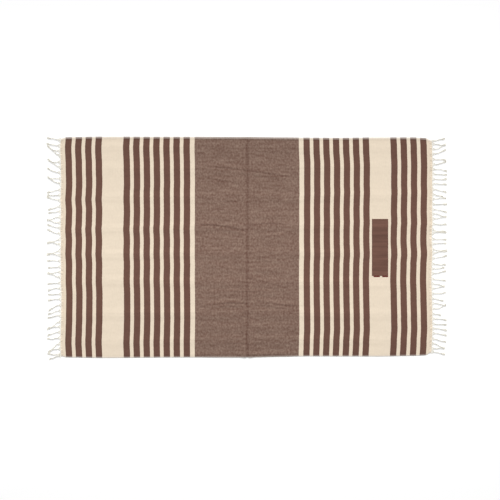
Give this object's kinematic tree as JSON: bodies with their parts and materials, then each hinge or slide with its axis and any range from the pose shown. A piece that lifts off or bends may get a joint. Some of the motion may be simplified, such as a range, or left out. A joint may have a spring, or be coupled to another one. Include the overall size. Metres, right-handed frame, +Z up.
{
  "type": "hammam towel",
  "caption": "Flat-woven hammam towel lying open, with cream and brown cross stripes, a plain middle panel, knotted fringe at both ends and a plain sewn-on patch.",
  "frame": {"origin": "middle of the bounding box on the surface that the towel lies on", "axes": "+X along the towel towards the end with the patch, +Y across it, +Z up out of its face"},
  "size_m": [1.8116, 1.0082, 0.0059],
  "materials": {
    "striped_cotton": "flat-woven cotton, matt",
    "cream_cotton": "twisted cotton yarn, matt",
    "brown_cotton": "plain-woven cotton, matt"
  },
  "bodies": {
    "root": {"cloth": "striped_cotton", "fringe_left": "cream_cotton", "fringe_right": "cream_cotton", "patch": "brown_cotton"}
  },
  "joints": []
}
